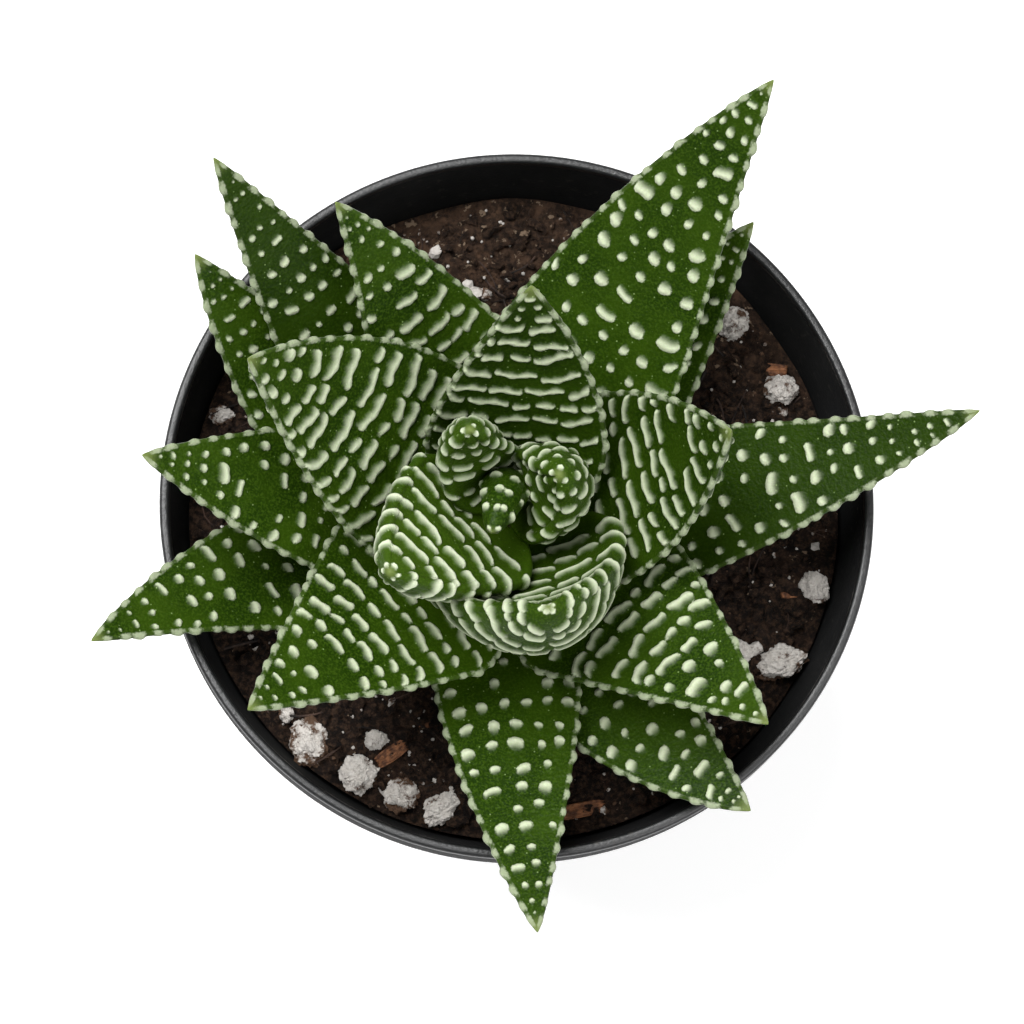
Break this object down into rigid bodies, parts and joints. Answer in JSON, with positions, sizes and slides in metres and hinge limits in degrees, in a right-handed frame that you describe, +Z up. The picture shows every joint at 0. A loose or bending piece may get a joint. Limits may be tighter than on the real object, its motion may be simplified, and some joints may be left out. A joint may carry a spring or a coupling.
{
  "type": "potted haworthia",
  "caption": "Small rosette succulent with pointed green leaves, white raised bands and dots, growing in a thin round tapered nursery pot of peaty soil with perlite.",
  "frame": {"origin": "centre of the pot's underside, on the surface that the pot stands on", "axes": "+Z up along the pot's axis; the longest leaf points between +X and +Y"},
  "size_m": [0.102, 0.0958, 0.1107],
  "materials": {
    "pot_plastic": "thin moulded black plastic, satin, with a smooth rolled lip",
    "soil": "damp dark peat with fibres, bark chips and white grains of perlite",
    "stem": "pale green fleshy core, hidden by the leaves",
    "leaf": "waxy dark green skin with raised white tubercles, pale toothed margins and paler tips"
  },
  "bodies": {
    "root": {"pot": "pot_plastic", "soil": "soil", "stem": "stem", "leaf_01": "leaf", "leaf_02": "leaf", "leaf_03": "leaf", "leaf_04": "leaf", "leaf_05": "leaf", "leaf_06": "leaf", "leaf_07": "leaf", "leaf_08": "leaf", "leaf_09": "leaf", "leaf_10": "leaf", "leaf_11": "leaf", "leaf_12": "leaf", "leaf_13": "leaf", "leaf_14": "leaf", "leaf_15": "leaf", "leaf_16": "leaf", "leaf_17": "leaf", "leaf_18": "leaf", "leaf_19": "leaf", "leaf_20": "leaf"}
  },
  "joints": []
}
